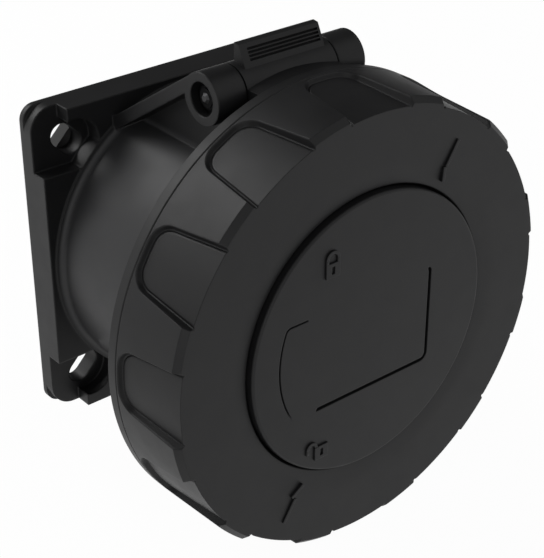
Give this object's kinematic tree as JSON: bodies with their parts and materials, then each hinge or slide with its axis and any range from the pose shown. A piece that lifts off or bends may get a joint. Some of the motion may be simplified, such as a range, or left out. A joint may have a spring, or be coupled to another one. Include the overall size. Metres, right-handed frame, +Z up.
{
  "type": "industrial panel socket",
  "caption": "Square-flanged industrial panel socket: keyed tube with sleeve contacts, sprung hinged lid and a turning bayonet locking ring.",
  "frame": {"origin": "centre of the flange's rear face, on the socket's axis", "axes": "-Y out of the panel towards the plug, +Y into the panel, +Z up towards the hinge, +X to the right as the user sees it"},
  "size_m": [0.1016, 0.0801, 0.1073],
  "materials": {
    "black_plastic": "matt moulded, black",
    "grey_plastic": "matt moulded, dark grey",
    "soft_rubber": "soft black rubber",
    "contact_metal": "turned brass, bright",
    "steel": "zinc-plated steel"
  },
  "bodies": {
    "housing": {"flange_housing": "black_plastic", "panel_gasket": "soft_rubber", "contact_carrier": "grey_plastic", "terminal_base": "grey_plastic", "base_seal": "soft_rubber", "base_screws": "steel", "centre_screw": "steel", "contact_phase_1": "contact_metal", "contact_phase_2": "contact_metal", "contact_phase_3": "contact_metal", "contact_neutral": "contact_metal", "contact_earth": "contact_metal", "contact_grip_rings": "steel", "terminal_screws": "steel", "hinge_pin": "steel", "pin_caps": "steel", "hinge_spring": "steel"},
    "lid": {"lid_cover": "black_plastic", "lid_gasket": "soft_rubber", "lid_disc": "black_plastic", "lid_screws": "steel", "slip_washer": "contact_metal"},
    "ring": {"locking_ring": "black_plastic"}
  },
  "joints": [
    {"name": "lid_hinge", "type": "hinge", "parent": "housing", "child": "lid", "pos_m": [0, -0.0402, 0.047], "axis": [-1, 0, 0], "range_deg": [0, 110], "stiffness_Nm_per_rad": 0.12, "springref_deg": -57.3, "deforming": ["hinge_spring"]},
    {"name": "ring_turn", "type": "hinge", "parent": "lid", "child": "ring", "pos_m": [0, -0.066, 0], "axis": [0, 1, 0], "range_deg": [0, 30]}
  ]
}
